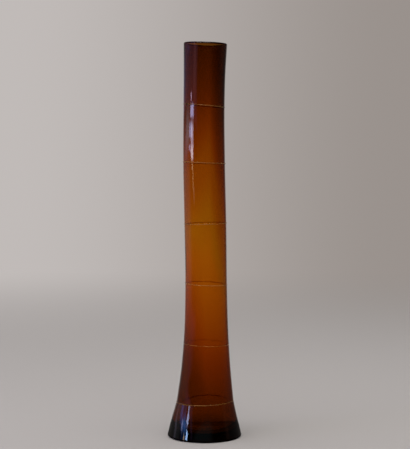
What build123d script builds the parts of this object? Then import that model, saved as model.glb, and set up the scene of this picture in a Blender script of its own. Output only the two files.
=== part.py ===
"""Tall hand-blown trumpet vase in amber glass.

A blown bubble, long in the neck and flaring to a bell at its root, is opened at its lower end
and sealed hot to a heavy flared foot, a thick cup with a deep well. Six fine glass threads are
trailed round the outside, the lowest over the seam between body and foot. The wall is thin in
the middle of the neck and thickens to the lip and to the foot, and the axis wanders a little
from one side to the other, as in free-blown work.

Frame: millimetres, +Z up, the origin on the table at the centre of the foot, the front of the
vase towards -Y, with +X to the right of someone who faces it.
"""

import os
from math import cos, radians, sin, tan
from typing import NamedTuple

import numpy as np
from build123d import *

# Lengths up the vase from one thread to the next: the foot up to the seam and its thread, the bell,
# four lengths of neck, and the collar up to the mouth
foot_length = 45.0
bell_length = 73.5
neck_root_length = 76.5
neck_low_length = 77.0
neck_middle_length = 77.0
neck_high_length = 72.0
collar_length = 79.0

# Outside diameters: at the foot's edge, each thread and the mouth, and halfway up foot, bell and collar
foot_diameter = 94.2
foot_middle_diameter = 84.2
bell_root_diameter = 72.9
bell_middle_diameter = 64.1
bell_top_diameter = 58.1
neck_low_diameter = 53.4
neck_middle_diameter = 53.7
neck_high_diameter = 53.2
throat_diameter = 52.0
collar_diameter = 53.2
mouth_diameter = 55.2

# Wall at the same places, from halfway up the foot
foot_middle_wall = 5.0
bell_root_wall = 5.0
bell_middle_wall = 4.4
bell_top_wall = 3.4
neck_low_wall = 2.6
neck_middle_wall = 2.4
neck_high_wall = 2.7
throat_wall = 3.4
collar_wall = 3.8
lip_wall = 4.0

# Wander of the axis to the right at the same places
foot_middle_drift = 0.1
bell_root_drift = 0.8
bell_middle_drift = 1.7
bell_top_drift = 2.2
neck_low_drift = 2.05
neck_middle_drift = 1.05
neck_high_drift = -0.5
throat_drift = -0.55
collar_drift = 0.0
mouth_drift = 1.15

# Solid glass under the well in the foot, whose corner is rounded from halfway up the foot
floor_thickness = 7.0

# Fire-polished lip, each edge rounded by a share of its wall, rounded edge of the foot, and the
# hollow ground under the foot where the pontil was
lip_round_share = 0.4
foot_round = 2.0
pontil_diameter = 56.0
pontil_flat_diameter = 30.0
pontil_depth = 2.0

# Threads: low ridges of glass, the gap at their seat, and the tilt of each, right side down
bead_width = 1.4
bead_height = 0.5
bead_clearance = 0.08
thread_1_tilt = -1.5
thread_2_tilt = 1.4
thread_3_tilt = 2.2
thread_4_tilt = -1.3
thread_5_tilt = 2.3
thread_6_tilt = 4.8

# Steps of a curve: rounds from one station to the next, and chords in a quarter round
rounds_per_span = 2
chords_per_edge = 2
chords_in_well = 3


# Heights above the table of the threads, where they cross the axis, and of the mouth
thread_1_height = foot_length
thread_2_height = thread_1_height + bell_length
thread_3_height = thread_2_height + neck_root_length
thread_4_height = thread_3_height + neck_low_length
thread_5_height = thread_4_height + neck_middle_length
thread_6_height = thread_5_height + neck_high_length
mouth_height = thread_6_height + collar_length


class Station(NamedTuple):
    """A round section of the wall: its height, outside diameter, wall and wander of the axis."""

    height: float
    diameter: float
    wall: float
    drift: float


foot_edge = Station(foot_round, foot_diameter, 0.0, 0.0)
foot_middle = Station(thread_1_height / 2, foot_middle_diameter, foot_middle_wall, foot_middle_drift)
bell_root = Station(thread_1_height, bell_root_diameter, bell_root_wall, bell_root_drift)
bell_middle = Station(
    (thread_1_height + thread_2_height) / 2, bell_middle_diameter, bell_middle_wall, bell_middle_drift
)
bell_top = Station(thread_2_height, bell_top_diameter, bell_top_wall, bell_top_drift)
neck_low = Station(thread_3_height, neck_low_diameter, neck_low_wall, neck_low_drift)
neck_middle = Station(thread_4_height, neck_middle_diameter, neck_middle_wall, neck_middle_drift)
neck_high = Station(thread_5_height, neck_high_diameter, neck_high_wall, neck_high_drift)
throat = Station(thread_6_height, throat_diameter, throat_wall, throat_drift)
collar = Station((thread_6_height + mouth_height) / 2, collar_diameter, collar_wall, collar_drift)
mouth = Station(mouth_height, mouth_diameter, lip_wall, mouth_drift)

body_stations = [
    bell_root,
    bell_middle,
    bell_top,
    neck_low,
    neck_middle,
    neck_high,
    throat,
    collar,
    mouth,
]


def smoothed(stations: list[Station]) -> list[Station]:
    """Return the stations with more between them, on a smooth cubic through their values."""
    values = np.array(stations)
    slopes = np.gradient(values, values[:, 0], axis=0)
    smooth = []
    for low, high, low_slope, high_slope in zip(values, values[1:], slopes, slopes[1:]):
        span = high[0] - low[0]
        for t in np.linspace(0, 1, rounds_per_span, endpoint=False):
            start = (1 + 2 * t) * (1 - t) ** 2 * low + t * (1 - t) ** 2 * span * low_slope
            end = t**2 * (3 - 2 * t) * high - t**2 * (1 - t) * span * high_slope
            smooth.append(Station(*(start + end)))
    return smooth + [stations[-1]]


def quarter_round(radius: float, chords: int) -> list[tuple[float, float]]:
    """Return inset and drop of each corner of a quarter round, from the side to the top."""
    angles = [radians(90 * step / chords) for step in range(chords + 1)]
    return [(radius * (1 - cos(angle)), radius * (1 - sin(angle))) for angle in angles]


def round_section(height: float, drift: float, radius: float) -> Sketch:
    """Return a level disc at a height, ready to loft."""
    with BuildSketch(Plane.XY.offset(height)) as section:
        with Locations((drift, 0)):
            Circle(radius)
    return section.sketch


def flare_between(below: Station, above: Station) -> float:
    """Return how much the radius of the wall grows for each millimetre down."""
    return (below.diameter - above.diameter) / 2 / (above.height - below.height)


os.makedirs("parts", exist_ok=True)

# Blown body: bell, neck and mouth in one bubble, with a fire-polished lip
with BuildPart() as body:
    outside = [round_section(s.height, s.drift, s.diameter / 2) for s in smoothed(body_stations)[:-1]]
    inside = [round_section(s.height, s.drift, s.diameter / 2 - s.wall) for s in body_stations[:-1]]
    for inset, drop in quarter_round(lip_round_share * mouth.wall, chords_per_edge):
        lip_height = mouth.height - drop
        outside.append(round_section(lip_height, mouth.drift, mouth.diameter / 2 - inset))
        inside.append(round_section(lip_height, mouth.drift, mouth.diameter / 2 - mouth.wall + inset))
    loft(outside, ruled=True)
    loft(inside, ruled=True, mode=Mode.SUBTRACT)
body.part.label = "body"
export_step(body.part, "parts/body.step")

# Foot: a heavy flare with a well that carries on the hollow of the body, and a ground hollow underneath
with BuildPart() as foot:
    flare = []
    for inset, drop in reversed(quarter_round(foot_round, chords_per_edge)):
        flare.append(round_section(drop, foot_edge.drift, foot_edge.diameter / 2 - inset))
    for station in (foot_middle, bell_root):
        flare.append(round_section(station.height, station.drift, station.diameter / 2))
    loft(flare, ruled=True)
    well = [round_section(bell_root.height, bell_root.drift, bell_root.diameter / 2 - bell_root.wall)]
    for inset, drop in quarter_round(foot_middle.height - floor_thickness, chords_in_well):
        corner_radius = foot_middle.diameter / 2 - foot_middle.wall - inset
        well.append(round_section(floor_thickness + drop, foot_middle.drift, corner_radius))
    loft(well, ruled=True, mode=Mode.SUBTRACT)
    with BuildSketch(Plane.XZ):
        with BuildLine():
            pontil_edge = (pontil_diameter / 2, 0)
            pontil_flat = (pontil_flat_diameter / 2, pontil_depth)
            Polyline((0, 0), pontil_edge, pontil_flat, (0, pontil_depth), close=True)
        make_face()
    revolve(axis=Axis.Z, mode=Mode.SUBTRACT)
foot.part.label = "foot"
export_step(foot.part, "parts/foot.step")

# Threads, numbered from the foot up. Each is wound at a tilt and lies on the mean slope of the wall,
# moved over where the wall is flared and a tilted ring meets it off centre, and kept clear of the
# wall where that bends outwards below and above the seat
thread_seats = [
    (foot_middle, bell_root, bell_middle, thread_1_tilt),
    (bell_middle, bell_top, neck_low, thread_2_tilt),
    (bell_top, neck_low, neck_middle, thread_3_tilt),
    (neck_low, neck_middle, neck_high, thread_4_tilt),
    (neck_middle, neck_high, throat, thread_5_tilt),
    (neck_high, throat, collar, thread_6_tilt),
]
for number, (below, here, above, tilt) in enumerate(thread_seats, start=1):
    lean = radians(tilt)
    radius = here.diameter / 2
    slope = (flare_between(below, here) + flare_between(here, above)) / 2
    bend = max(flare_between(below, here) - flare_between(here, above), 0) / 2
    reach = bead_width / 2 + radius * tan(abs(lean))
    seat = radius / cos(lean) + bead_clearance + bend * reach
    centre = (here.drift + slope * radius * tan(lean), 0, here.height)
    with BuildPart() as thread:
        with BuildSketch(Plane(centre, x_dir=(cos(lean), 0, -sin(lean)), z_dir=(0, -1, 0))):
            with BuildLine():
                upper_edge = (seat - slope * bead_width / 2, bead_width / 2)
                lower_edge = (seat + slope * bead_width / 2, -bead_width / 2)
                Polyline(upper_edge, lower_edge, (seat + bead_height, 0), close=True)
            make_face()
        revolve(axis=Axis(centre, (sin(lean), 0, cos(lean))))
    thread.part.label = f"thread_{number}"
    export_step(thread.part, f"parts/thread_{number}.step")
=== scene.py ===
"""Looks of a tall hand-blown trumpet vase in amber glass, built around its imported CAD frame.

Body and foot are sealed to each other hot, so light meets one skin outside and one inside. One closed
piece of glass shows them both, with the smooth line, the rounded lip and the slight unevenness of
free-blown work. The six trailed threads are pieces of their own that lie on it.

Lengths are millimetres until a mesh is made. The frame is that of the CAD: +Z up, the front towards -Y.
"""

import logging
import math
from dataclasses import dataclass, field
from enum import Enum
from typing import Iterator, NamedTuple

import bpy
import numpy as np
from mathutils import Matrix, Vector


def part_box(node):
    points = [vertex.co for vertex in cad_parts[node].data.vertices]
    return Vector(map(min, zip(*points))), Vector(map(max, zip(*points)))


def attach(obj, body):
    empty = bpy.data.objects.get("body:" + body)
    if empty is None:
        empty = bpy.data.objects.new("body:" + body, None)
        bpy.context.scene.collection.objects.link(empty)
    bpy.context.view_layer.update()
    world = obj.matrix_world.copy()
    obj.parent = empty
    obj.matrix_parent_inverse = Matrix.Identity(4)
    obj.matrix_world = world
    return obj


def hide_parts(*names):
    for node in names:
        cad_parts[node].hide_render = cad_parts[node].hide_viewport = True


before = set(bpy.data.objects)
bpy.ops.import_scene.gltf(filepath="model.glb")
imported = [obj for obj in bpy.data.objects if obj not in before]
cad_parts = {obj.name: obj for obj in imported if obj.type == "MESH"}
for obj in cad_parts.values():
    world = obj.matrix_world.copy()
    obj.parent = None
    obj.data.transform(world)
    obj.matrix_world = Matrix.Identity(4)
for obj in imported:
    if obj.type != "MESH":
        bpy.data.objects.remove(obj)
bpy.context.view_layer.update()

logging.basicConfig(level=logging.INFO, format="%(name)s: %(message)s")
log = logging.getLogger("trumpet_vase")

MM = 0.001
BODY = "root"
WHITE = (1.0, 1.0, 1.0, 1.0)
BLACK = (0.0, 0.0, 0.0, 1.0)
BUMP_STRENGTH = 0.4
BUMP_DISTANCE = 0.001
LAMP_MIDDLE = 0.5

Colour = tuple[float, float, float]
Stop = tuple[float, Colour]
Socket = bpy.types.NodeSocket


class Skin(Enum):
    """Which surface of the vessel a ring of points lies on."""

    OUTSIDE = "outside"
    INSIDE = "inside"
    GROUND = "ground"


class Station(NamedTuple):
    """A level section of the wall, in millimetres."""

    height: float
    diameter: float
    wall: float
    drift: float


class Darkening(NamedTuple):
    """A height in metres, and the shares of red and green that one darkened wall passes there."""

    height: float
    red: float
    green: float


class Trail(NamedTuple):
    """A trailed thread: its number, its tilt with the right side down, its width and its join.

    Angles are degrees, and the width is millimetres. The join is counted from the right over the back.
    """

    number: int
    tilt: float
    width: float
    join: float


class TintLayer(NamedTuple):
    """A layer of darkening over the glass colour, and how much higher up it is read, for each step to the
    right and all over.
    """

    lean: float
    shift: float
    darkening: list[Darkening]


class Wave(NamedTuple):
    """A wave round the wall: its share of the depth, its lobes, its twist up the vase and its start."""

    share: float
    lobes: int
    twist: float
    start: float


class Ring(NamedTuple):
    """A ring of points of the vessel, in millimetres, and the skin it belongs to."""

    height: float
    radius: float
    drift: float
    skin: Skin


def node_middle(node: str) -> float:
    """Return the height of the middle of a CAD node, in millimetres."""
    low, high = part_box(node)
    return (low[2] + high[2]) / 2 / MM


def node_top(node: str) -> float:
    """Return the height of the top of a CAD node, in millimetres."""
    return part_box(node)[1][2] / MM


def node_width(node: str) -> float:
    """Return the size of a CAD node from left to right, in millimetres."""
    low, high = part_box(node)
    return (high[0] - low[0]) / MM


def mesh_object(name: str, points: np.ndarray, faces: list[tuple[int, ...]]) -> bpy.types.Object:
    """Make a smooth-shaded object from points in millimetres.

    Args:
        name: Name of the object and its mesh.
        points: One row of x, y, z for each point.
        faces: Corner numbers of each face, outward side anticlockwise.

    Returns:
        The new object, linked to the scene.
    """
    mesh = bpy.data.meshes.new(name)
    mesh.from_pydata((points * MM).tolist(), [], faces)
    mesh.shade_smooth()
    mesh.update()
    made = bpy.data.objects.new(name, mesh)
    bpy.context.scene.collection.objects.link(made)
    return made


class WallLine:
    """The smooth line of the wall through its stations."""

    def __init__(self, stations: list[Station]) -> None:
        """Keep the stations and work out how fast each value changes there."""
        self.values = np.array(stations)
        self.heights = self.values[:, 0]
        self.slopes = np.gradient(self.values, self.heights, axis=0)

    def at(self, height: float) -> Station:
        """Read the wall at a height.

        Args:
            height: Height above the table, in millimetres.

        Returns:
            The section of the wall there, on a cubic between its two neighbouring stations.
        """
        last_span = len(self.heights) - 2
        low = int(np.clip(np.searchsorted(self.heights, height) - 1, 0, last_span))
        span = self.heights[low + 1] - self.heights[low]
        t = min(max((height - self.heights[low]) / span, 0.0), 1.0)
        start = (1 + 2 * t) * self.values[low] + t * span * self.slopes[low]
        end = (3 - 2 * t) * self.values[low + 1] - (1 - t) * span * self.slopes[low + 1]
        return Station(*((1 - t) ** 2 * start + t**2 * end))


def quarter_round(radius: float, chords: int) -> list[tuple[float, float]]:
    """Return inset and drop of each corner of a quarter round, from the side to the top."""
    angles = [math.radians(90 * step / chords) for step in range(chords + 1)]
    return [(radius * (1 - math.cos(angle)), radius * (1 - math.sin(angle))) for angle in angles]


class Graph:
    """A short way to write a node tree."""

    def __init__(self, tree: bpy.types.NodeTree) -> None:
        """Keep the tree and empty it."""
        self.tree = tree
        tree.nodes.clear()

    def add(self, kind: str, settings: dict[str, object] | None = None, **inputs: object) -> bpy.types.Node:
        """Add a node.

        Args:
            kind: Blender's name of the node type, without its ShaderNode prefix.
            settings: Properties of the node itself.
            **inputs: Input sockets by name, with spaces as underscores: a socket to link, or a plain value.

        Returns:
            The new node.
        """
        node = self.tree.nodes.new("ShaderNode" + kind)
        for name, value in (settings or {}).items():
            setattr(node, name, value)
        for name, value in inputs.items():
            self.feed(node.inputs[name.replace("_", " ")], value)
        return node

    def feed(self, socket: Socket, value: object) -> None:
        """Link a socket to another one, or set it to a plain value."""
        if isinstance(value, Socket):
            self.tree.links.new(value, socket)
        else:
            socket.default_value = value

    def maths(self, operation: str, *values: object) -> Socket:
        """Add a Math node with its inputs in order, and return its result."""
        node = self.add("Math", {"operation": operation})
        for socket, value in zip(node.inputs, values):
            self.feed(socket, value)
        return node.outputs["Value"]

    def blend(
        self, share: object, first: object, second: object, kind: str = "FLOAT", mode: str = "MIX"
    ) -> Socket:
        """Mix two numbers or colours by a share, and return the result."""
        node = self.add("Mix", {"data_type": kind, "blend_type": mode})
        names = ("Factor", "A", "B")
        wanted = {"FLOAT": "VALUE", "RGBA": "RGBA"}[kind]
        for name, value in zip(names, (share, first, second)):
            kinds = ("VALUE",) if name == "Factor" else (wanted,)
            socket = next(s for s in node.inputs if s.name == name and s.type in kinds and s.enabled)
            self.feed(socket, value)
        return next(s for s in node.outputs if s.type == wanted and s.enabled)

    def step(self, value: Socket, start: float, end: float) -> Socket:
        """Add a smooth step of a value, 0 at start and 1 at end, and return it."""
        settings = {"interpolation_type": "SMOOTHSTEP"}
        return self.add("MapRange", settings, Value=value, From_Min=start, From_Max=end).outputs["Result"]

    def ramp(self, share: Socket, stops: list[Stop]) -> Socket:
        """Add a smooth colour ramp with stops of place and colour, and return its colour."""
        node = self.add("ValToRGB", Fac=share)
        elements = node.color_ramp.elements
        while len(elements) < len(stops):
            elements.new(1.0)
        for element, (place, colour) in zip(elements, stops):
            element.position = place
            element.color = (*colour, 1.0)
        return node.outputs["Color"]


def new_group(name: str, inputs: dict[str, float], outputs: dict[str, str]) -> tuple[Graph, bpy.types.Node]:
    """Start a shader node group.

    Args:
        name: Name of the group.
        inputs: Its number inputs with their defaults.
        outputs: Its outputs with their socket types.

    Returns:
        The group's graph, and its Group Input node.
    """
    tree = bpy.data.node_groups.new(name, "ShaderNodeTree")
    for label, default in inputs.items():
        socket = tree.interface.new_socket(label, in_out="INPUT", socket_type="NodeSocketFloat")
        socket.default_value = default
    for label, kind in outputs.items():
        tree.interface.new_socket(label, in_out="OUTPUT", socket_type=kind)
    graph = Graph(tree)
    return graph, tree.nodes.new("NodeGroupInput")


def close_group(graph: Graph, results: dict[str, Socket]) -> bpy.types.NodeTree:
    """Link a group's results to its Group Output and return the finished group."""
    end = graph.tree.nodes.new("NodeGroupOutput")
    for label, socket in results.items():
        graph.feed(end.inputs[label], socket)
    return graph.tree


def blown_skin_group() -> bpy.types.NodeTree:
    """Make the skin of free-blown glass: long soft draws up the wall, and a thin uneven film of dust.

    Returns:
        A group with inputs Draw, the depth of the draws, Polish and Film, the roughness of clean
        glass and what dust adds, and outputs Height and Roughness.
    """
    inputs = {"Draw": 1.0, "Polish": 0.02, "Film": 0.05}
    outputs = {"Height": "NodeSocketFloat", "Roughness": "NodeSocketFloat"}
    graph, given = new_group("blown_skin", inputs, outputs)
    draws_per_metre = (60.0, 60.0, 7.0)
    smears_per_metre = 55.0
    clean_below, dusty_above = 0.45, 0.8
    place = graph.add("TexCoord").outputs["Object"]
    stretched = graph.add("Mapping", Vector=place, Scale=draws_per_metre).outputs["Vector"]
    draws = graph.add("TexNoise", Vector=stretched, Scale=1.0, Detail=2.0, Roughness=0.4).outputs["Fac"]
    smears = graph.add("TexNoise", Vector=place, Scale=smears_per_metre, Detail=4.0, Roughness=0.6)
    seen = smears.outputs["Fac"]
    dusty = graph.add("MapRange", Value=seen, From_Min=clean_below, From_Max=dusty_above).outputs["Result"]
    film = graph.maths("MULTIPLY", dusty, given.outputs["Film"])
    results = {
        "Height": graph.maths("MULTIPLY", draws, given.outputs["Draw"]),
        "Roughness": graph.maths("ADD", given.outputs["Polish"], film),
    }
    return close_group(graph, results)


def layered_tint_group(amber: Colour, tint_layers: tuple[TintLayer, ...]) -> bpy.types.NodeTree:
    """Make the colour of the glass: even amber, darker towards both ends, with painted shade at the bottom
    of the foot, and darker to the right high up and to the left low down.

    Args:
        amber: What one clean wall passes.
        tint_layers: The layers that darken the glass. Where they overlap, the darkest one shows.

    Returns:
        A group with an input Strength, for the darkening layers, and an output Tint, what one wall passes.
    """
    graph, given = new_group("layered_tint", {"Strength": 1.0}, {"Tint": "NodeSocketColor"})
    place = graph.add("SeparateXYZ", Vector=graph.add("TexCoord").outputs["Object"]).outputs
    darker_layers = None
    for lean, shift, darkening in tint_layers:
        low, high = darkening[0].height - shift, darkening[-1].height - shift
        height = graph.maths("MULTIPLY_ADD", place["X"], lean, place["Z"])
        share = graph.add("MapRange", Value=height, From_Min=low, From_Max=high).outputs["Result"]
        stops = []
        for stop in darkening:
            place_on_ramp = (stop.height - shift - low) / (high - low)
            stops.append((place_on_ramp, (stop.red, stop.green, stop.green)))
        layer = graph.ramp(share, stops)
        darker_layers = layer if darker_layers is None else graph.blend(1.0, darker_layers, layer, kind="RGBA", mode="DARKEN")
    shown = graph.blend(given.outputs["Strength"], WHITE, darker_layers, kind="RGBA")
    tint = graph.blend(1.0, shown, (*amber, 1.0), kind="RGBA", mode="MULTIPLY")
    return close_group(graph, {"Tint": tint})


@dataclass(frozen=True)
class AmberGlass:
    """Fire-polished amber glass that darkens with its thickness, ground rough under the foot."""

    slot: str = "amber_glass"
    refraction: float = 1.5
    polish: float = 0.015
    film: float = 0.03
    draw_depth: float = 0.25
    ground_roughness: float = 0.45
    absorbed_per_metre: Colour = (75.0, 78.0, 100.0)

    def material(self, skin: bpy.types.NodeTree, tint: bpy.types.NodeTree) -> bpy.types.Material:
        """Make the material.

        Args:
            skin: The blown skin group.
            tint: The layered tint group.

        Returns:
            The finished material.
        """
        made = bpy.data.materials.new(self.slot)
        made.use_nodes = True
        graph = Graph(made.node_tree)
        surface = graph.add(
            "Group", {"node_tree": skin}, Draw=self.draw_depth, Polish=self.polish, Film=self.film
        )
        shade = graph.add("Group", {"node_tree": tint}, Strength=1.0)
        ground = graph.add("Attribute", {"attribute_name": Skin.GROUND.value}).outputs["Fac"]
        inside = graph.add("Attribute", {"attribute_name": Skin.INSIDE.value}).outputs["Fac"]
        one_skin = shade.outputs["Tint"]
        through_wall = graph.blend(1.0, one_skin, one_skin, kind="RGBA", mode="MULTIPLY")
        height = surface.outputs["Height"]
        bump = graph.add("Bump", Height=height, Strength=BUMP_STRENGTH, Distance=BUMP_DISTANCE)
        glass = graph.add(
            "BsdfPrincipled",
            Base_Color=graph.blend(inside, through_wall, WHITE, kind="RGBA"),
            Roughness=graph.blend(ground, surface.outputs["Roughness"], self.ground_roughness),
            Normal=bump.outputs["Normal"],
            IOR=self.refraction,
            Transmission_Weight=1.0,
        )
        density = max(self.absorbed_per_metre)
        passed = [1 - absorbed / density for absorbed in self.absorbed_per_metre]
        depth = graph.add("VolumeAbsorption", Color=(*passed, 1.0), Density=density)
        graph.add("OutputMaterial", Surface=glass.outputs["BSDF"], Volume=depth.outputs["Volume"])
        return made


@dataclass(frozen=True)
class ThreadGlass:
    """Paler, milky amber glass of the trailed threads."""

    slot: str = "thread_glass"
    colour: Colour = (0.85, 0.45, 0.19)
    milk: float = 0.3
    refraction: float = 1.5
    polish: float = 0.25
    film: float = 0.1
    draw_depth: float = 0.3
    clearness: float = 0.8
    layer_share: float = 0.7
    gloss_tint: Colour = (1.0, 0.6, 0.43)

    def material(self, skin: bpy.types.NodeTree, tint: bpy.types.NodeTree) -> bpy.types.Material:
        """Make the material.

        Args:
            skin: The blown skin group.
            tint: The layered tint group.

        Returns:
            The finished material.
        """
        made = bpy.data.materials.new(self.slot)
        made.use_nodes = True
        graph = Graph(made.node_tree)
        surface = graph.add(
            "Group", {"node_tree": skin}, Draw=self.draw_depth, Polish=self.polish, Film=self.film
        )
        shade = graph.add("Group", {"node_tree": tint}, Strength=self.layer_share)
        height = surface.outputs["Height"]
        bump = graph.add("Bump", Height=height, Strength=BUMP_STRENGTH, Distance=BUMP_DISTANCE)
        milky = graph.blend(self.milk, shade.outputs["Tint"], (*self.colour, 1.0), kind="RGBA")
        glass = graph.add(
            "BsdfPrincipled",
            Base_Color=milky,
            Roughness=surface.outputs["Roughness"],
            Normal=bump.outputs["Normal"],
            IOR=self.refraction,
            Specular_Tint=(*self.gloss_tint, 1.0),
            Transmission_Weight=self.clearness,
        )
        graph.add("OutputMaterial", Surface=glass.outputs["BSDF"])
        return made


@dataclass
class Vessel:
    """Body and foot as one closed piece of glass."""

    name: str = "vessel_glass"
    nodes: tuple[str, str] = ("body", "foot")
    segments: int = 160
    ring_spacing: float = 4.0
    edge_chords: int = 6
    lip_round_share: float = 0.46
    foot_round: float = 2.0
    seam_gap: float = 0.4
    edge_gap: float = 0.4
    floor_thickness: float = 7.0
    well_round: float = 12.0
    well_flare: float = math.radians(14.0)
    pontil_diameter: float = 56.0
    pontil_depth: float = 2.0
    pontil_rings: int = 8
    outside_wave: float = 0.12
    inside_wave: float = 0.3
    wave_fade: float = 12.0
    waves: tuple[Wave, ...] = (Wave(0.5, 2, 1.3, 0.4), Wave(0.3, 3, -2.1, 1.9), Wave(0.2, 5, 3.7, 4.2))
    lip_tilt: tuple[float, float] = (-0.033, 0.028)
    lip_rise: float = 0.33
    lip_tilt_start: float = 440.0
    bore_wander: float = 0.8
    bore_wander_start: float = 340.0
    line: WallLine = field(init=False)
    foot_line: WallLine = field(init=False)
    body_line: WallLine = field(init=False)
    seam: Station = field(init=False)
    mouth: Station = field(init=False)

    def __post_init__(self) -> None:
        """Set the stations of the wall, at the heights of the CAD's threads and mouth."""
        root, top, low, middle, high, throat = [node_middle(f"thread_{n}") for n in range(1, 7)]
        lip = node_top("body")
        foot = node_width("foot")
        stations = [
            Station(self.foot_round, foot, 5.0, 0.0),
            Station(root / 2, 84.2, 5.0, 0.1),
            Station(root, 72.9, 5.0, 0.8),
            Station((root + top) / 2, 64.1, 4.4, 1.7),
            Station(top, 58.1, 3.4, 2.2),
            Station(low, 53.4, 2.6, 2.05),
            Station(middle, 53.7, 2.4, 1.05),
            Station(high, 53.3, 2.7, -0.5),
            Station(throat, 52.2, 3.4, -0.55),
            Station((throat + lip) / 2, 52.9, 3.8, 0.0),
            Station(lip, 55.2, 4.0, 1.15),
        ]
        self.line = WallLine(stations)
        self.foot_line = WallLine(stations[:3])
        self.body_line = WallLine(stations[2:])
        self.seam = stations[2]
        self.mouth = stations[-1]

    def outside(self, height: float) -> Station:
        """Read the wall at a height outside, where it is kinked at the seam of body and foot."""
        line = self.foot_line if height < self.seam.height else self.body_line
        return line.at(height)

    def heights(self, low: float, high: float) -> np.ndarray:
        """Return even heights from low to high, about one ring spacing apart."""
        return np.linspace(low, high, max(2, round((high - low) / self.ring_spacing)))

    def rings(self) -> Iterator[Ring]:
        """Walk the section of the vessel.

        Yields:
            The rings from the middle of the underside, round the outside, over the lip and down inside.
        """
        foot_radius = self.line.values[0][1] / 2
        dish_radius = self.pontil_diameter / 2
        for share in np.linspace(0, 1, self.pontil_rings + 1)[1:]:
            yield Ring(self.pontil_depth * (1 - share**2), dish_radius * share, 0.0, Skin.GROUND)
        yield Ring(0.0, (dish_radius + foot_radius) / 2, 0.0, Skin.GROUND)
        for inset, rise in reversed(quarter_round(self.foot_round, self.edge_chords)):
            skin = Skin.GROUND if rise == 0.0 else Skin.OUTSIDE
            yield Ring(rise, foot_radius - inset, 0.0, skin)
        lip_round = self.lip_round_share * self.mouth.wall
        lip_start = self.mouth.height - lip_round
        below_seam = self.seam.height - self.seam_gap
        above_seam = self.seam.height + self.seam_gap
        foot_heights = self.heights(self.foot_round + self.edge_gap, below_seam - self.edge_gap)
        body_heights = self.heights(above_seam + self.edge_gap, lip_start - self.edge_gap)
        for height in (*foot_heights, below_seam, above_seam, *body_heights):
            wall = self.outside(height)
            yield Ring(height, wall.diameter / 2, wall.drift, Skin.OUTSIDE)
        edges = quarter_round(lip_round, self.edge_chords)
        lip_radius = self.mouth.diameter / 2
        for inset, drop in edges:
            yield Ring(self.mouth.height - drop, lip_radius - inset, self.mouth.drift, Skin.OUTSIDE)
        for inset, drop in reversed(edges):
            radius = lip_radius - self.mouth.wall + inset
            yield Ring(self.mouth.height - drop, radius, self.mouth.drift, Skin.OUTSIDE)
        corner_start = self.floor_thickness + self.well_round * (1 + math.sin(self.well_flare))
        for height in self.heights(corner_start, lip_start - self.edge_gap)[::-1]:
            wall = self.line.at(height)
            yield Ring(height, wall.diameter / 2 - wall.wall, wall.drift, Skin.INSIDE)
        start = self.line.at(corner_start)
        middle = start.diameter / 2 - start.wall - self.well_round * math.cos(self.well_flare)
        for turn in np.linspace(self.well_flare, -math.pi / 2, 3 * self.edge_chords)[1:]:
            height = self.floor_thickness + self.well_round * (1 + math.sin(turn))
            yield Ring(height, middle + self.well_round * math.cos(turn), start.drift, Skin.INSIDE)

    def wave(self, ring: Ring, angles: np.ndarray) -> np.ndarray:
        """Return how far the glass of a ring stands out of true round, at each angle."""
        depths = {Skin.OUTSIDE: self.outside_wave, Skin.INSIDE: self.inside_wave, Skin.GROUND: 0.0}
        rise = ring.height / self.mouth.height * 2 * math.pi
        shape = np.zeros_like(angles)
        for wave in self.waves:
            shape += wave.share * np.sin(wave.lobes * angles + wave.twist * rise + wave.start)
        from_edge = min(ring.height, self.mouth.height - ring.height)
        return depths[ring.skin] * min(from_edge / self.wave_fade, 1.0) * shape

    def set_back(self, ring: Ring) -> float:
        """Return how far a ring is moved to the back: the bore of the upper neck and collar wanders."""
        above = ring.height - self.bore_wander_start
        if ring.skin is not Skin.INSIDE or above < 0:
            return 0.0
        reach = self.mouth.height - self.bore_wander_start
        return self.bore_wander * math.sin(2 * math.pi * above / reach)

    def lean(self, ring: Ring) -> np.ndarray:
        """Return how steeply a ring rises to the right and to the back, and how far all over.

        The lip isn't quite level, and the glass below it follows.
        """
        share = (ring.height - self.lip_tilt_start) / (self.mouth.height - self.lip_tilt_start)
        return np.array((*self.lip_tilt, self.lip_rise)) * max(share, 0.0) ** 2

    def build(self) -> bpy.types.Object:
        """Build the mesh of the vessel.

        Returns:
            One closed object, with the ground underside and the inside marked in point attributes.
        """
        angles = np.linspace(0, 2 * math.pi, self.segments, endpoint=False)
        rings = list(self.rings())
        points = [np.array([[0.0, 0.0, self.pontil_depth]])]
        skins = [Skin.GROUND]
        for ring in rings:
            radii = ring.radius + self.wave(ring, angles)
            across, back = radii * np.cos(angles), radii * np.sin(angles)
            rise_across, rise_back, rise = self.lean(ring)
            level = ring.height + rise + rise_across * across + rise_back * back
            points.append(np.stack((ring.drift + across, self.set_back(ring) + back, level), axis=1))
            skins += [ring.skin] * self.segments
        points.append(np.array([[rings[-1].drift, 0.0, self.floor_thickness]]))
        skins.append(Skin.INSIDE)
        made = mesh_object(self.name, np.concatenate(points), list(self.faces(len(rings))))
        for skin in (Skin.GROUND, Skin.INSIDE):
            mark = made.data.attributes.new(skin.value, "FLOAT", "POINT")
            mark.data.foreach_set("value", [float(each is skin) for each in skins])
        return made

    def faces(self, rings: int) -> Iterator[tuple[int, ...]]:
        """Walk the faces between the rings, and the fans that close both ends.

        Args:
            rings: How many rings there are.

        Yields:
            Corner numbers of each face.
        """
        last = 1 + rings * self.segments
        for side in range(self.segments):
            beside = (side + 1) % self.segments
            yield 0, 1 + beside, 1 + side
            for ring in range(rings - 1):
                low = 1 + ring * self.segments
                high = low + self.segments
                yield low + side, low + beside, high + beside, high + side
            yield last, last - self.segments + side, last - self.segments + beside

    def dress(self, made: bpy.types.Object, glass: bpy.types.Material, slot: str) -> None:
        """Give the vessel its glass and its place in the frame."""
        made.data.materials.append(glass)
        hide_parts(*self.nodes)
        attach(made, BODY)


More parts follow.
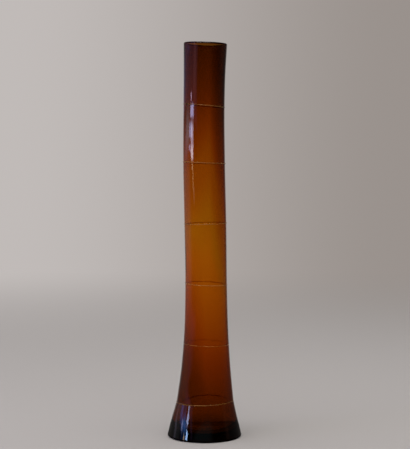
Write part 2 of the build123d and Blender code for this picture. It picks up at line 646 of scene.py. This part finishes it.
@dataclass
class Thread:
    """One trail of glass, wound round the vessel at a tilt and slightly uneven."""

    trail: Trail
    vessel: Vessel
    stand_share: float = 0.45
    sunk: float = 0.12
    unevenness: float = 0.18
    slow_share: float = 0.6
    slow_lobes: int = 3
    quick_lobes: int = 8
    start_step: float = 1.7
    segments: int = 240
    section_points: int = 10
    join_spread: float = 7.0
    join_swell: float = 0.5

    @property
    def node(self) -> str:
        """Return the name of the CAD node that this trail stands for."""
        return f"thread_{self.trail.number}"

    def thickness(self, angles: np.ndarray) -> np.ndarray:
        """Return the size of the trail at each angle, as a share of its plain size."""
        start = self.start_step * self.trail.number
        slow = self.slow_share * np.sin(self.slow_lobes * angles + start)
        quick = (1 - self.slow_share) * np.sin(self.quick_lobes * angles + 2 * start)
        uneven = slow + quick
        past_join = angles - math.radians(self.trail.join)
        away = np.degrees(np.abs((past_join + math.pi) % (2 * math.pi) - math.pi))
        return 1 + self.unevenness * uneven + self.join_swell * np.exp(-((away / self.join_spread) ** 2))

    def build(self) -> bpy.types.Object:
        """Build the mesh of the trail.

        Returns:
            One closed ring that lies on the wall.
        """
        angles = np.linspace(0, 2 * math.pi, self.segments, endpoint=False)
        sizes = self.thickness(angles)
        stand = self.stand_share * self.trail.width
        middle = node_middle(self.node)
        fall = math.tan(math.radians(self.trail.tilt))
        points = []
        for angle, size in zip(angles, sizes):
            wall = self.vessel.outside(middle)
            seat = middle - wall.diameter / 2 * math.cos(angle) * fall
            out = np.array([math.cos(angle), math.sin(angle), 0.0])
            for step in range(self.section_points):
                turn = 2 * math.pi * step / self.section_points
                rise = self.trail.width / 2 * size * math.sin(turn)
                lift = (stand * size if math.cos(turn) > 0 else self.sunk) * math.cos(turn)
                here = self.vessel.outside(seat + rise)
                radius = here.diameter / 2 + lift
                points.append(out * radius + np.array([here.drift, 0.0, seat + rise]))
        return mesh_object(f"trail_{self.trail.number}", np.array(points), list(self.faces()))

    def faces(self) -> Iterator[tuple[int, ...]]:
        """Walk the faces of the ring and yield the corner numbers of each."""
        for side in range(self.segments):
            low = side * self.section_points
            high = (side + 1) % self.segments * self.section_points
            for step in range(self.section_points):
                beside = (step + 1) % self.section_points
                yield low + step, high + step, high + beside, low + beside

    def dress(self, made: bpy.types.Object, glass: bpy.types.Material, slot: str) -> None:
        """Give the trail its glass and its place in the frame."""
        made.data.materials.append(glass)
        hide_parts(self.node)
        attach(made, BODY)


def soft_lamp(
    name: str,
    place: Vector,
    target: Vector,
    size: tuple[float, float],
    radiance: float,
    colour: Colour,
    feather: float,
) -> bpy.types.Object:
    """Make a rectangular area lamp that fades out towards its edges.

    Glass mirrors it, but it isn't seen through glass.

    Args:
        name: Name of the lamp.
        place: Where its middle is, in metres.
        target: The point that it faces.
        size: Its width and height, in metres.
        radiance: How bright its middle looks, where 1 is white.
        colour: Colour of its light.
        feather: Share of its width and height, at each edge, over which it fades.

    Returns:
        The lamp, linked to the scene.
    """
    lamp = bpy.data.lights.new(name, "AREA")
    lamp.shape = "RECTANGLE"
    lamp.size, lamp.size_y = size
    lamp.energy = radiance * math.pi * lamp.size * lamp.size_y
    lamp.color = colour
    lamp.use_nodes = True
    graph = Graph(lamp.node_tree)
    across_lamp = graph.add("NewGeometry").outputs["Parametric"]
    place_on_lamp = graph.add("SeparateXYZ", Vector=across_lamp).outputs
    strength = 1.0
    for axis in ("X", "Y"):
        from_middle = graph.maths("ABSOLUTE", graph.maths("SUBTRACT", place_on_lamp[axis], LAMP_MIDDLE))
        faded = graph.step(from_middle, LAMP_MIDDLE, LAMP_MIDDLE - feather)
        strength = graph.maths("MULTIPLY", strength, faded)
    glow = graph.add("Emission", Strength=strength)
    graph.add("OutputLight", Surface=glow.outputs["Emission"])
    made = bpy.data.objects.new(name, lamp)
    made.location = place
    made.rotation_euler = (target - place).to_track_quat("-Z", "Y").to_euler()
    made.visible_transmission = False
    bpy.context.scene.collection.objects.link(made)
    return made


@dataclass(frozen=True)
class Panel:
    """An upright soft panel that faces the vase.

    Lengths are metres, and angles are degrees to the left of the camera.
    """

    name: str
    near_angle: float
    far_angle: float
    low: float
    high: float
    radiance: float
    colour: Colour
    distance: float = 1.2
    feather: float = 0.12

    def build(self) -> bpy.types.Object:
        """Make the lamp and return it."""
        turn = math.radians((self.near_angle + self.far_angle) / 2)
        half_spread = math.radians((self.far_angle - self.near_angle) / 2)
        middle = (self.low + self.high) / 2
        place = Vector((-self.distance * math.sin(turn), -self.distance * math.cos(turn), middle))
        size = (2 * self.distance * math.tan(half_spread), self.high - self.low)
        target = Vector((0.0, 0.0, middle))
        return soft_lamp(self.name, place, target, size, self.radiance, self.colour, self.feather)


@dataclass(frozen=True)
class Studio:
    """Pale floor that runs out into a pale surround, soft panels, and the camera. Lengths are metres."""

    # The surround is painted lighter to the left and darker to the right, a painted fall of light.
    lit_left_tone: Colour = (0.53, 0.495, 0.48)
    shaded_right_tone: Colour = (0.32, 0.285, 0.265)
    tone_spread: float = 0.16
    open_from: float = 0.72
    open_to: float = 0.98
    side_glow: float = 0.15
    side_from: float = -0.6
    side_to: float = 0.5
    fan_point: tuple[float, float, float] = (0.0, -1.6, 0.35)
    floor_colour: Colour = (0.5, 0.47, 0.455)
    fill_light: Colour = (0.5, 0.5, 0.5)
    floor_radius: float = 4.0
    floor_sides: int = 96
    floor_gap: float = 0.0004
    fade_start: float = 0.5
    fade_end: float = 2.5
    panels: tuple[Panel, ...] = (
        Panel("upper_box", 54.0, 84.0, 0.456, 0.481, 9.0, (0.58, 0.6, 1.0), 1.2, 0.3),
        Panel("middle_box", 62.0, 92.0, 0.414, 0.456, 5.5, (0.5, 0.6, 1.0), 1.2, 0.3),
        Panel("lower_box", 76.0, 92.0, 0.38, 0.403, 4.5, (0.55, 0.6, 1.0), 1.2, 0.3),
        Panel("edge_strip", 57.0, 79.0, 0.35, 0.465, 5.5, (0.85, 0.78, 1.0), 1.2, 0.25),
        Panel("warm_card", 60.0, 77.0, 0.35, 0.405, 4.5, (1.0, 0.85, 0.75), 1.2, 0.25),
        Panel("box_halo", 72.0, 124.0, 0.36, 0.5, 1.2, (0.5, 0.75, 0.85), 1.2, 0.5),
        Panel("low_card", 63.0, 71.0, 0.313, 0.349, 4.5, (1.0, 0.7, 0.37), 2.0, 0.25),
        Panel("low_strip", 60.0, 68.0, 0.227, 0.33, 2.6, (1.0, 0.68, 0.3), 2.0, 0.3),
        Panel("lowest_strip", 55.0, 66.0, 0.182, 0.272, 0.9, (1.0, 0.8, 0.5), 2.0, 0.4),
        Panel("top_strip", 71.0, 79.0, 0.481, 0.506, 6.0, (0.85, 0.65, 1.0), 1.2, 0.3),
        Panel("collar_card", 35.0, 165.0, 0.47, 0.64, 0.2, (0.7, 0.45, 1.0), 1.25, 0.2),
        Panel("collar_strip", 44.0, 65.0, 0.47, 0.64, 0.33, (1.0, 0.42, 0.42), 1.25, 0.3),
        Panel("left_card", 78.0, 145.0, 0.0, 0.47, 0.16, (0.75, 0.85, 1.0), 0.8, 0.3),
        Panel("bell_card", 50.0, 95.0, 0.03, 0.1, 0.22, (0.7, 0.45, 1.0), 0.8, 0.4),
        Panel("foot_strip", 58.0, 68.5, 1.74, 2.16, 9.0, (0.52, 0.6, 1.0), 8.0, 0.2),
        Panel("foot_strip_bar", 60.0, 68.0, 1.66, 1.74, 3.0, (0.35, 0.5, 1.0), 8.0, 0.2),
        Panel("foot_strip_low", 54.5, 63.5, 1.4, 1.66, 17.0, (0.36, 0.57, 1.0), 8.0, 0.25),
        Panel("foot_strip_far", 77.0, 88.0, 1.12, 1.58, 3.0, (0.5, 0.6, 1.0), 8.0, 0.35),
        Panel("foot_haze_near", 58.0, 88.0, 1.2, 1.95, 3.2, (0.08, 0.32, 1.0), 8.0, 0.5),
        Panel("foot_haze_far", 68.0, 114.0, 1.05, 1.65, 1.6, (0.06, 0.22, 1.0), 8.0, 0.5),
        Panel("front_card", -45.0, 45.0, 1.7, 2.4, 0.07, (0.6, 0.9, 1.0), 8.0, 0.3),
        Panel("edge_card_left", 98.0, 130.0, 0.25, 0.75, 0.3, (0.8, 0.7, 1.0), 8.0, 0.4),
        Panel("edge_card_right", -112.0, -68.0, 1.0, 1.8, 0.1, (1.0, 0.42, 0.28), 8.0, 0.35),
    )
    overhead_place: tuple[float, float, float] = (-0.2, -0.47, 2.2)
    overhead_size: tuple[float, float] = (1.6, 1.6)
    overhead_radiance: float = 3.0
    overhead_colour: Colour = (1.0, 0.98, 0.95)
    overhead_feather: float = 0.05
    eye: tuple[float, float, float] = (0.0007, -1.6, 0.353)
    look_down: float = 2.95
    lens: float = 100.95

    def tone(self, graph: Graph, seen_along: Socket, lies_along: Socket) -> Socket:
        """Return the colour of the surround, as it is seen and as glass mirrors it.

        It is painted lighter to the left, a painted fall of light, and what glass mirrors of it is pale only
        straight behind the vase, with painted shade where the room is dim at the sides and dark in front.

        Args:
            graph: The node tree to add to.
            seen_along: The direction in which a place is seen from in front of the vase.
            lies_along: The direction in which it lies from the vase.

        Returns:
            A colour socket.
        """
        across = graph.add("SeparateXYZ", Vector=seen_along).outputs["X"]
        behind = graph.add("SeparateXYZ", Vector=lies_along).outputs["Y"]
        share = graph.step(across, -self.tone_spread, self.tone_spread)
        pale = graph.blend(share, (*self.lit_left_tone, 1.0), (*self.shaded_right_tone, 1.0), "RGBA")
        sides = graph.maths("MULTIPLY", graph.step(behind, self.side_from, self.side_to), self.side_glow)
        lit = graph.maths("MAXIMUM", graph.step(behind, self.open_from, self.open_to), sides)
        path = graph.add("LightPath").outputs
        mirrored = graph.maths("SUBTRACT", path["Is Glossy Ray"], path["Is Transmission Ray"])
        lit = graph.blend(graph.maths("MAXIMUM", mirrored, 0.0), 1.0, lit)
        return graph.blend(lit, BLACK, pale, "RGBA")

    def surround(self) -> None:
        """Make the world: the pale surround as it is seen, and a plain fill light for the floor."""
        world = bpy.data.worlds.new("surround")
        world.use_nodes = True
        graph = Graph(world.node_tree)
        path = graph.add("LightPath").outputs
        seen = graph.maths("MAXIMUM", path["Is Camera Ray"], path["Is Glossy Ray"])
        seen = graph.maths("MAXIMUM", seen, path["Is Transmission Ray"])
        along = graph.add("TexCoord").outputs["Generated"]
        # The surround as seen carries a painted fall of light from the left and painted shade at the sides
        # and in front.
        tone = self.tone(graph, along, along)
        colour = graph.blend(seen, (*self.fill_light, 1.0), tone, "RGBA")
        light = graph.add("Background", Color=colour, Strength=1.0)
        graph.add("OutputWorld", Surface=light.outputs["Background"])
        bpy.context.scene.world = world

    def floor(self) -> bpy.types.Object:
        """Make the floor, plain near the vase and fading into the surround further out."""
        turns = np.linspace(0, 2 * math.pi, self.floor_sides, endpoint=False)
        reach = self.floor_radius / MM
        edge = np.stack((reach * np.cos(turns), reach * np.sin(turns), np.zeros(self.floor_sides)), axis=1)
        made = mesh_object("floor", edge, [tuple(range(self.floor_sides))])
        made.location.z = -self.floor_gap
        paper = bpy.data.materials.new("floor_paper")
        paper.use_nodes = True
        graph = Graph(paper.node_tree)
        place = graph.add("TexCoord").outputs["Object"]
        away = graph.add("VectorMath", {"operation": "LENGTH"})
        graph.feed(away.inputs[0], place)
        share = graph.step(away.outputs["Value"], self.fade_start, self.fade_end)
        matt = graph.add("BsdfDiffuse", Color=(*self.floor_colour, 1.0))
        parts = graph.add("SeparateXYZ", Vector=place).outputs
        depth = graph.maths("ABSOLUTE", parts["Y"])
        folded = graph.add("CombineXYZ", X=parts["X"], Y=depth, Z=parts["Z"]).outputs["Vector"]
        seen = graph.add("VectorMath", {"operation": "SUBTRACT"})
        graph.feed(seen.inputs[0], folded)
        graph.feed(seen.inputs[1], self.fan_point)
        directions = []
        for offset in (seen.outputs["Vector"], place):
            along = graph.add("VectorMath", {"operation": "NORMALIZE"})
            graph.feed(along.inputs[0], offset)
            directions.append(along.outputs["Vector"])
        path = graph.add("LightPath").outputs
        by_glass = graph.maths("MAXIMUM", path["Is Glossy Ray"], path["Is Transmission Ray"])
        glowing = graph.maths("MAXIMUM", share, by_glass)
        # Where the floor glows, it shows the same painted fall of light and painted shade.
        glow = graph.add("Emission", Color=self.tone(graph, *directions), Strength=1.0)
        mixed = graph.add("MixShader", Fac=glowing)
        graph.feed(mixed.inputs[1], matt.outputs["BSDF"])
        graph.feed(mixed.inputs[2], glow.outputs["Emission"])
        graph.add("OutputMaterial", Surface=mixed.outputs["Shader"])
        made.data.materials.append(paper)
        return made

    def camera(self) -> bpy.types.Object:
        """Make the camera at the photograph's viewing angle and return it."""
        eye = bpy.data.cameras.new("camera")
        eye.lens = self.lens
        made = bpy.data.objects.new("camera", eye)
        made.location = self.eye
        made.rotation_euler = (math.radians(90 - self.look_down), 0.0, 0.0)
        bpy.context.scene.collection.objects.link(made)
        bpy.context.scene.camera = made
        return made

    def build(self) -> None:
        """Set up the whole studio."""
        bpy.context.scene.view_settings.view_transform = "Standard"
        self.surround()
        self.floor()
        for panel in self.panels:
            panel.build()
        place = Vector(self.overhead_place)
        soft_lamp(
            "overhead",
            place,
            Vector(),
            self.overhead_size,
            self.overhead_radiance,
            self.overhead_colour,
            self.overhead_feather,
        )
        self.camera()


AMBER = (0.97, 0.53, 0.07)
# Darker towards the bottom of the foot: darker overlay glass, and in its lowest part painted shade of the
# floor under the foot, which glass sees pale.
FOOT_SMOKE_AND_SHADE = [
    Darkening(0.0, 0.22, 0.2),
    Darkening(0.004, 0.28, 0.23),
    Darkening(0.01, 0.37, 0.29),
    Darkening(0.016, 0.39, 0.3),
    Darkening(0.022, 0.52, 0.37),
    Darkening(0.034, 0.51, 0.37),
    Darkening(0.044, 0.6, 0.42),
    Darkening(0.06, 0.68, 0.46),
    Darkening(0.09, 0.76, 0.5),
    Darkening(0.11, 0.83, 0.58),
    Darkening(0.14, 0.89, 0.71),
    Darkening(0.18, 0.97, 0.85),
    Darkening(0.24, 1.0, 0.96),
]
# Darker towards the left in the lower vase, through the lean of its layer.
LOW_LEFT_DARKENING = [
    Darkening(-0.06, 0.5, 0.36),
    Darkening(0.02, 0.54, 0.38),
    Darkening(0.05, 0.59, 0.4),
    Darkening(0.085, 0.74, 0.5),
    Darkening(0.11, 0.83, 0.57),
    Darkening(0.18, 0.97, 0.85),
    Darkening(0.24, 1.0, 0.96),
]
MOUTH_SMOKE = [
    Darkening(0.24, 1.0, 0.96),
    Darkening(0.3, 0.93, 0.94),
    Darkening(0.35, 0.85, 0.73),
    Darkening(0.38, 0.82, 0.7),
    Darkening(0.41, 0.74, 0.54),
    Darkening(0.45, 0.57, 0.4),
    Darkening(0.5, 0.42, 0.31),
    Darkening(0.56, 0.29, 0.21),
]
LIP_SMOKE = [
    Darkening(0.491, 1.0, 1.0),
    Darkening(0.4955, 0.33, 0.2),
    Darkening(0.501, 0.3, 0.17),
]
# The first two layers darken both ends, the bottom of the foot with painted shade. The leaning ones make the
# collar darker to the right and a little to the left, and the lower vase darker to the left.
TINT_LAYERS = (
    TintLayer(0.0, 0.0, FOOT_SMOKE_AND_SHADE + MOUTH_SMOKE[1:]),
    TintLayer(0.0, 0.0, LIP_SMOKE),
    TintLayer(2.5, 0.0, LOW_LEFT_DARKENING),
    TintLayer(5.5, -0.027, MOUTH_SMOKE),
    TintLayer(-1.4, 0.018, MOUTH_SMOKE),
)
TRAILS = (
    Trail(1, -1.5, 0.9, 60.0),
    Trail(2, 1.4, 0.6, 100.0),
    Trail(3, 2.2, 1.1, 207.0),
    Trail(4, -1.3, 1.1, 205.0),
    Trail(5, 2.3, 1.3, 209.0),
    Trail(6, 4.8, 1.0, 130.0),
)


def main() -> None:
    """Build the studio and the vase, piece by piece."""
    Studio().build()
    skin = blown_skin_group()
    tint = layered_tint_group(AMBER, TINT_LAYERS)
    amber, pale = AmberGlass(), ThreadGlass()
    vessel = Vessel()
    vessel_piece = vessel.build()
    vessel.dress(vessel_piece, amber.material(skin, tint), amber.slot)
    log.info("built %s with %d points", vessel_piece.name, len(vessel_piece.data.vertices))
    thread_material = pale.material(skin, tint)
    for trail in TRAILS:
        thread = Thread(trail, vessel)
        thread_piece = thread.build()
        thread.dress(thread_piece, thread_material, pale.slot)
        log.info("built %s with %d points", thread_piece.name, len(thread_piece.data.vertices))


if __name__ == "__main__":
    main()
